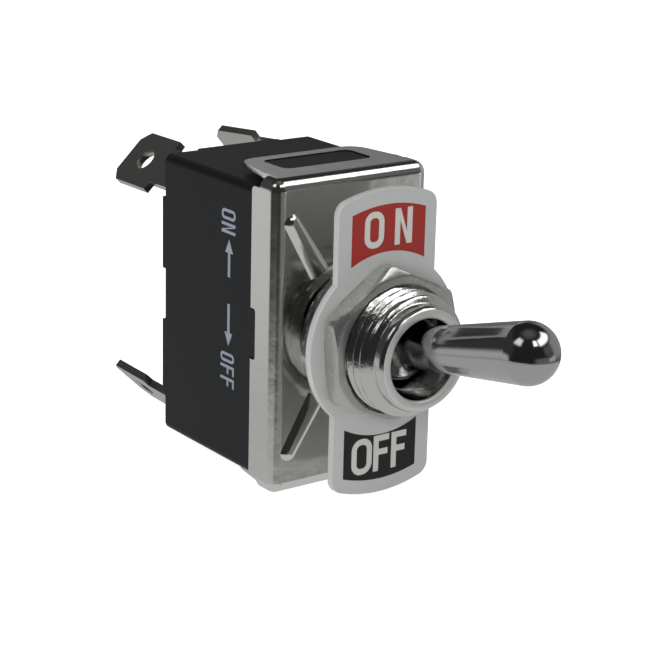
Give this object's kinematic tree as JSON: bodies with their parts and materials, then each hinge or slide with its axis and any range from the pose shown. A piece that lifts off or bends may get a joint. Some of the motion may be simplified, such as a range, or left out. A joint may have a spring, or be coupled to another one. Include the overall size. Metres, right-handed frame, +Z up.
{
  "type": "panel toggle switch",
  "caption": "Double pole on-off toggle switch with a bat lever, threaded bushing, legend plate and twisted quick-connect blades, for mounting in a panel hole.",
  "frame": {"origin": "on the bushing's axis at the outer front face of the steel frame", "axes": "-Y out of the panel along the bushing, +Y to the blades, +Z up towards ON, +X to the right for someone facing the lever"},
  "size_m": [0.0187, 0.0591, 0.0312],
  "materials": {
    "base_plastic": "moulded black thermoset, satin",
    "frame_steel": "bright nickel plated sheet steel",
    "insulator_board": "pressed insulating board",
    "bushing_chrome": "bright plated",
    "nut_chrome": "bright plated",
    "plate_metal": "satin plate with printed red and black fields",
    "lever_chrome": "polished plate",
    "pin_steel": "ground",
    "actuator_nylon": "natural nylon",
    "plunger_acetal": "smooth",
    "spring_steel": "drawn wire",
    "arm_copper": "copper strip",
    "contact_silver": "silver rivet",
    "terminal_tin": "tin plated brass"
  },
  "bodies": {
    "housing": {"base_housing": "base_plastic", "frame_cover": "frame_steel", "insulator": "insulator_board", "bushing": "bushing_chrome", "rear_nut": "nut_chrome", "legend_plate": "plate_metal", "front_nut": "nut_chrome", "pivot_pin": "pin_steel", "common_terminal_left": "terminal_tin", "common_terminal_right": "terminal_tin", "throw_terminal_left": "terminal_tin", "throw_terminal_right": "terminal_tin", "fixed_contact_left": "contact_silver", "fixed_contact_right": "contact_silver"},
    "lever": {"lever": "lever_chrome", "actuator": "actuator_nylon", "plunger_spring_left": "spring_steel", "plunger_spring_right": "spring_steel"},
    "plunger_left": {"plunger_left": "plunger_acetal"},
    "plunger_right": {"plunger_right": "plunger_acetal"},
    "rocker_left": {"rocker_left": "arm_copper", "moving_contact_left": "contact_silver"},
    "rocker_right": {"rocker_right": "arm_copper", "moving_contact_right": "contact_silver"}
  },
  "joints": [
    {"name": "lever_tilt", "type": "hinge", "parent": "housing", "child": "lever", "pos_m": [0, -0.0068, 0], "axis": [1, 0, 0], "range_deg": [0, 27]},
    {"name": "plunger_slide_left", "type": "slide", "parent": "lever", "child": "plunger_left", "axis": [0, -0.9724, 0.2334], "range_m": [0, 0.0008], "stiffness_N_per_m": 300, "springref_m": -0.0025, "deforming": ["plunger_spring_left"]},
    {"name": "rocker_tilt_left", "type": "hinge", "parent": "housing", "child": "rocker_left", "pos_m": [-0.0041, 0.0153, 0], "axis": [1, 0, 0], "range_deg": [-16, 0]},
    {"name": "plunger_slide_right", "type": "slide", "parent": "lever", "child": "plunger_right", "axis": [0, -0.9724, 0.2334], "range_m": [0, 0.0008], "stiffness_N_per_m": 300, "springref_m": -0.0025, "deforming": ["plunger_spring_right"]},
    {"name": "rocker_tilt_right", "type": "hinge", "parent": "housing", "child": "rocker_right", "pos_m": [0.0041, 0.0153, 0], "axis": [1, 0, 0], "range_deg": [-16, 0]}
  ],
  "couplings": [
    {"joint": "rocker_tilt_left", "follows": "lever_tilt", "ratio": -0.5925},
    {"joint": "rocker_tilt_right", "follows": "lever_tilt", "ratio": -0.5925}
  ]
}
